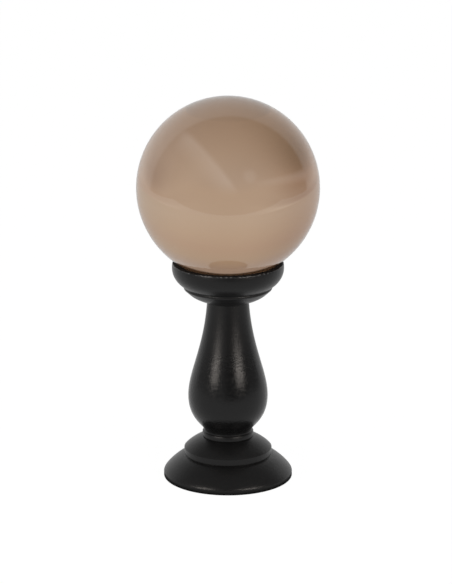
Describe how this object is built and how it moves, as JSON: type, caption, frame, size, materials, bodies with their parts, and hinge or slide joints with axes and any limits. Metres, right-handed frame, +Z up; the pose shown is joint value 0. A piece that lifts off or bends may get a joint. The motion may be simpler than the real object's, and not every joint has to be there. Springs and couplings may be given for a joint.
{
  "type": "glass ball on a turned stand",
  "caption": "Solid clear ball of smoky glass resting in the dished cup of a turned, black-painted baluster stand with a round stepped foot.",
  "frame": {"origin": "centre of the foot's flat underside, on the surface that the stand rests on", "axes": "+Z up along the turning axis of the stand, through the ball's centre; the part is round, so X and Y are free"},
  "size_m": [0.08, 0.08, 0.1717],
  "materials": {
    "smoky_glass": "clear, polished",
    "black_paint": "turned wood under satin black paint"
  },
  "bodies": {
    "root": {"glass_ball": "smoky_glass", "turned_stand": "black_paint"}
  },
  "joints": []
}
